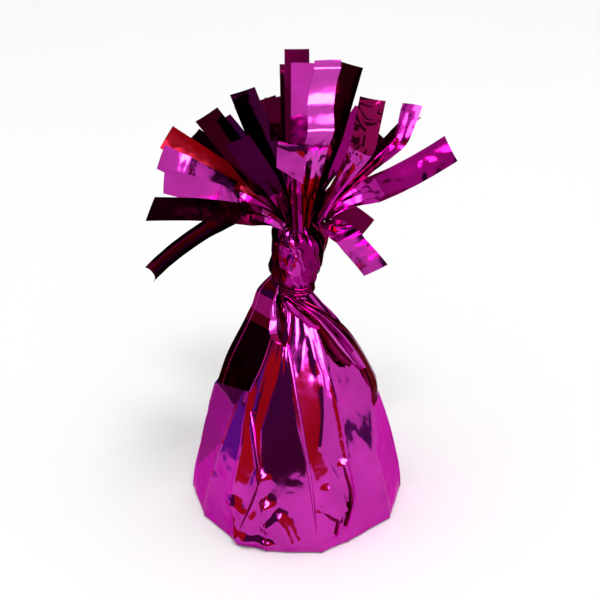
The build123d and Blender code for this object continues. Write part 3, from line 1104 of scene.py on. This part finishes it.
def add_card(name, azimuths, elevations, colour, share):
    """A curved card, seen in reflections alone."""
    columns = max(2, round((azimuths[1] - azimuths[0]) / CARD_STEP) + 1)
    rows = max(2, round((elevations[1] - elevations[0]) / CARD_STEP) + 1)
    points = []
    for elevation in np.linspace(*elevations, rows):
        for azimuth in np.linspace(*azimuths, columns):
            points.append(CENTRE + direction(azimuth, elevation) * CARD_DISTANCE * share)
    faces = []
    for i in range(rows - 1):
        for j in range(columns - 1):
            a = i * columns + j
            faces.append((a, a + 1, a + columns + 1, a + columns))
    mesh = bpy.data.meshes.new(name)
    mesh.from_pydata(points, [], faces)
    card = bpy.data.objects.new(name, mesh)
    bpy.context.scene.collection.objects.link(card)
    material = bpy.data.materials.new(name)
    material.use_nodes = True
    tree = material.node_tree
    tree.nodes.remove(tree.nodes["Principled BSDF"])
    glow = tree.nodes.new("ShaderNodeEmission")
    glow.inputs["Color"].default_value = (*colour, 1)
    tree.links.new(glow.outputs["Emission"], tree.nodes["Material Output"].inputs["Surface"])
    material.cycles.emission_sampling = "NONE"
    dress(card, material)
    for rays in ("camera", "diffuse", "shadow", "transmission"):
        setattr(card, f"visible_{rays}", False)


def add_floor():
    """A plain pale floor."""
    mesh = bpy.data.meshes.new("floor")
    corners = [(x * FLOOR_HALF, y * FLOOR_HALF, 0) for x, y in ((-1, -1), (1, -1), (1, 1), (-1, 1))]
    mesh.from_pydata(corners, [], [(0, 1, 2, 3)])
    floor = bpy.data.objects.new("floor", mesh)
    bpy.context.scene.collection.objects.link(floor)
    material, shader, add, links = new_material("floor_white")
    place = add("ShaderNodeTexCoord").outputs["Object"]
    links.new(shade_by_noise(add, place, FLOOR_NOISE, FLOOR_SHADES), shader.inputs["Base Color"])
    shader.inputs["Roughness"].default_value = FLOOR_ROUGHNESS
    shader.inputs["Specular IOR Level"].default_value = FLOOR_SHINE
    dress(floor, material)


def add_surround():
    """A white surround, a little weaker as light than it is seen to be."""
    world = bpy.data.worlds.new("surround")
    bpy.context.scene.world = world
    world.use_nodes = True
    tree = world.node_tree
    back = tree.nodes["Background"]
    back.inputs["Color"].default_value = (1, 1, 1, 1)
    rays = tree.nodes.new("ShaderNodeLightPath")
    seen = rays.outputs["Is Camera Ray"]
    for other in ("Is Glossy Ray", "Is Transmission Ray"):
        either = tree.nodes.new("ShaderNodeMath")
        either.operation = "MAXIMUM"
        tree.links.new(seen, either.inputs[0])
        tree.links.new(rays.outputs[other], either.inputs[1])
        seen = either.outputs[0]
    level = tree.nodes.new("ShaderNodeMapRange")
    level.inputs["To Min"].default_value = SURROUND_LIGHT
    level.inputs["To Max"].default_value = SURROUND_SEEN
    tree.links.new(seen, level.inputs["Value"])
    tree.links.new(level.outputs["Result"], back.inputs["Strength"])


def add_camera():
    """The camera, where the photograph was taken from."""
    camera = bpy.data.objects.new("camera", bpy.data.cameras.new("camera"))
    camera.data.sensor_width = SENSOR
    camera.data.lens = FOCAL_PIXELS * SENSOR / FRAME_PIXELS
    camera.data.clip_start = CLIP_START
    face_object(camera, 0, CAMERA_ELEVATION, CAMERA_DISTANCE * MM)
    bpy.context.scene.camera = camera


bpy.context.scene.view_settings.view_transform = "Standard"
add_floor()
add_surround()
add_light("key", azimuth=15, elevation=68, distance=1.0, size=0.2, power=3)
for name, (azimuths, elevations, colour, share) in CARDS.items():
    add_card(name, azimuths, elevations, colour, share)
add_camera()

# Hidden and resting pieces keep their CAD shape
for node, finish in PLAIN_SOLIDS.items():
    dress(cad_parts[node], speckled_material(*finish))

# One film material for each tone that is used: the film's own colour, painted shade, painted highlights and
# painted reflections
wrap_parts = wrap_shells()
used_tones = [TIE_PAINTED_TONE, CORE_PAINTED_TONE, *STRIP_PAINTED_TONES]
used_tones += [tone for *_, tone in (*wrap_parts, *NECK_PAINTED_TONES, *LOWER_PAINTED_TONES.values())]
films = {tone: film_material(f"film_{tone}", colour, DULL_METALLIC) for tone, colour in DULL_PAINTED_TINTS.items()}
for tone in used_tones:
    if tone not in films:
        films[tone] = film_material(f"film_{tone}", PAINTED_REFLECTION_TINTS[tone] if tone in PAINTED_REFLECTION_TINTS else painted_tone_colour(tone))

wrap = film_piece(
    "wrap",
    [film_shell(leaned(grid), closed) for grid, closed, _ in wrap_parts],
    [films[tone] for *_, tone in wrap_parts],
)
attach(wrap, "weight")
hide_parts("foil_wrap")

tie_shell = film_shell(leaned(tie_grid()), closed=True, thickness=TIE_THICKNESS)
tie = film_piece("tie", [tie_shell], [films[TIE_PAINTED_TONE]])
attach(tie, "weight")
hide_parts("neck_tie")

neck_shells = [film_shell(leaned(neck_grid()), closed=True)]
neck_films = [films[CORE_PAINTED_TONE]]
for number, row in enumerate(STRIPS, start=1):
    grid, root, across = strip_grid(number, row)
    tones = [(0, STRIP_PAINTED_TONES[number - 1])]
    if number in LOWER_PAINTED_TONES:
        change, lower_tone = LOWER_PAINTED_TONES[number]
        tones = [(0, lower_tone), (change, STRIP_PAINTED_TONES[number - 1])]
    parts = toned(grid, tones)
    strip = film_piece(
        f"strip_{number:02d}", [film_shell(part) for part, _ in parts], [films[tone] for _, tone in parts]
    )
    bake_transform(strip)
    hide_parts(f"fringe_strip_{number:02d}")
    if row[0] >= TAIL_SHARE:
        neck_shells.append(film_shell(leaned(tail_grid(number, root, across))))
        neck_films.append(films[next(tone for limit, tone in NECK_PAINTED_TONES if row[1] < limit)])

neck = film_piece("neck", neck_shells, neck_films)
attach(neck, "weight")
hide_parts("foil_neck")
